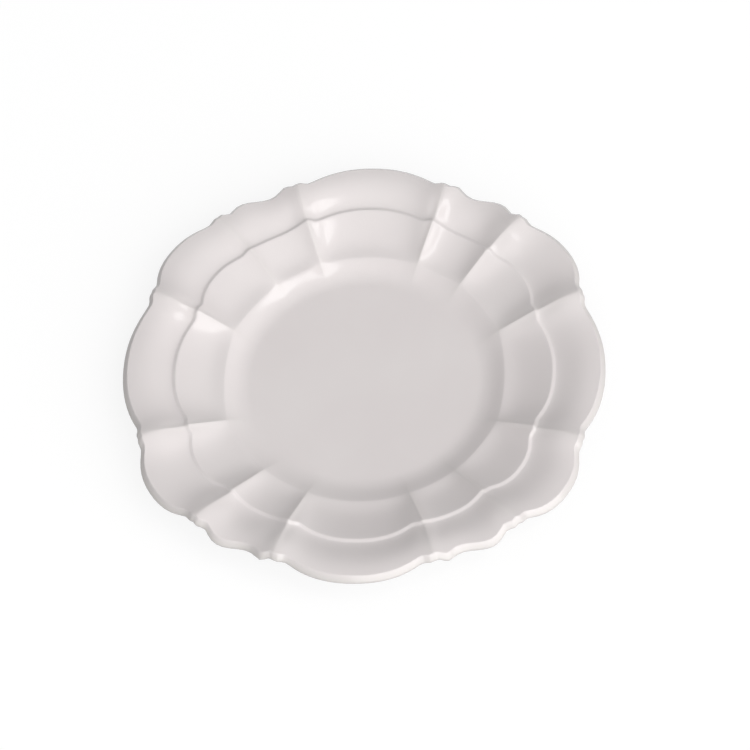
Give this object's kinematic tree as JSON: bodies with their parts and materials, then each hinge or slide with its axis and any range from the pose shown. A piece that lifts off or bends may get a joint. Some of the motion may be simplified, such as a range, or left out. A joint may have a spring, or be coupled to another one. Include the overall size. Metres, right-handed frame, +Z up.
{
  "type": "salad plate",
  "caption": "Round lobed salad plate in glossy white glazed ceramic, with a flat well, tiers of fluted panels and a bare foot ring.",
  "frame": {"origin": "centre of the plate on the table, in the plane of the foot ring's bare underside", "axes": "+Z up along the plate's axis; +X through the middle of a wide lobe with the smaller reach, +Y through the middle of the other wide lobe"},
  "size_m": [0.222, 0.2248, 0.0242],
  "materials": {
    "clay": "matte",
    "glaze": "gloss"
  },
  "bodies": {
    "root": {"plate_body": "clay", "foot_ring": "clay", "glaze_coat": "glaze", "base_glaze": "glaze"}
  },
  "joints": []
}
